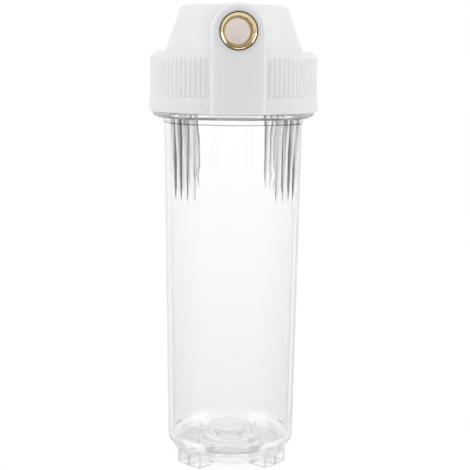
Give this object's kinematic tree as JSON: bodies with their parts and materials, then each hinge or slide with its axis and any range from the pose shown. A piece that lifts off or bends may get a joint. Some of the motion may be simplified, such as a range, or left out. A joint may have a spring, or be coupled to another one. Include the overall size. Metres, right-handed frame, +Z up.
{
  "type": "water prefilter housing",
  "caption": "Upright water prefilter housing: white screw-on head with threaded brass inlet and outlet ports over a clear tapered bowl that stands on moulded feet",
  "frame": {"origin": "on the ground, under the axis of the housing, at the centre of the bottom of its box", "axes": "+Z up along the axis of the bowl, -Y out of the inlet port, +Y out of the outlet port"},
  "size_m": [0.1134, 0.1172, 0.309],
  "materials": {
    "head_plastic": "white moulded polypropylene, satin gloss",
    "port_brass": "turned brass, polished bevel",
    "clear_plastic": "clear moulded plastic, polished",
    "seal_rubber": "black rubber"
  },
  "bodies": {
    "head": {"head": "head_plastic", "inlet_insert": "port_brass", "outlet_insert": "port_brass"},
    "seal": {"bowl_seal": "seal_rubber"},
    "bowl": {"bowl": "clear_plastic"}
  },
  "joints": [
    {"name": "bowl_drop", "type": "slide", "parent": "head", "child": "seal", "axis": [0, 0, -1], "range_m": [0, 0.018]},
    {"name": "bowl_turn", "type": "hinge", "parent": "seal", "child": "bowl", "pos_m": [0, 0, 0.24], "axis": [0, 0, -1], "range_deg": [0, 1080]}
  ],
  "couplings": [
    {"joint": "bowl_drop", "follows": "bowl_turn", "m_per_rad": 0.00095493}
  ]
}
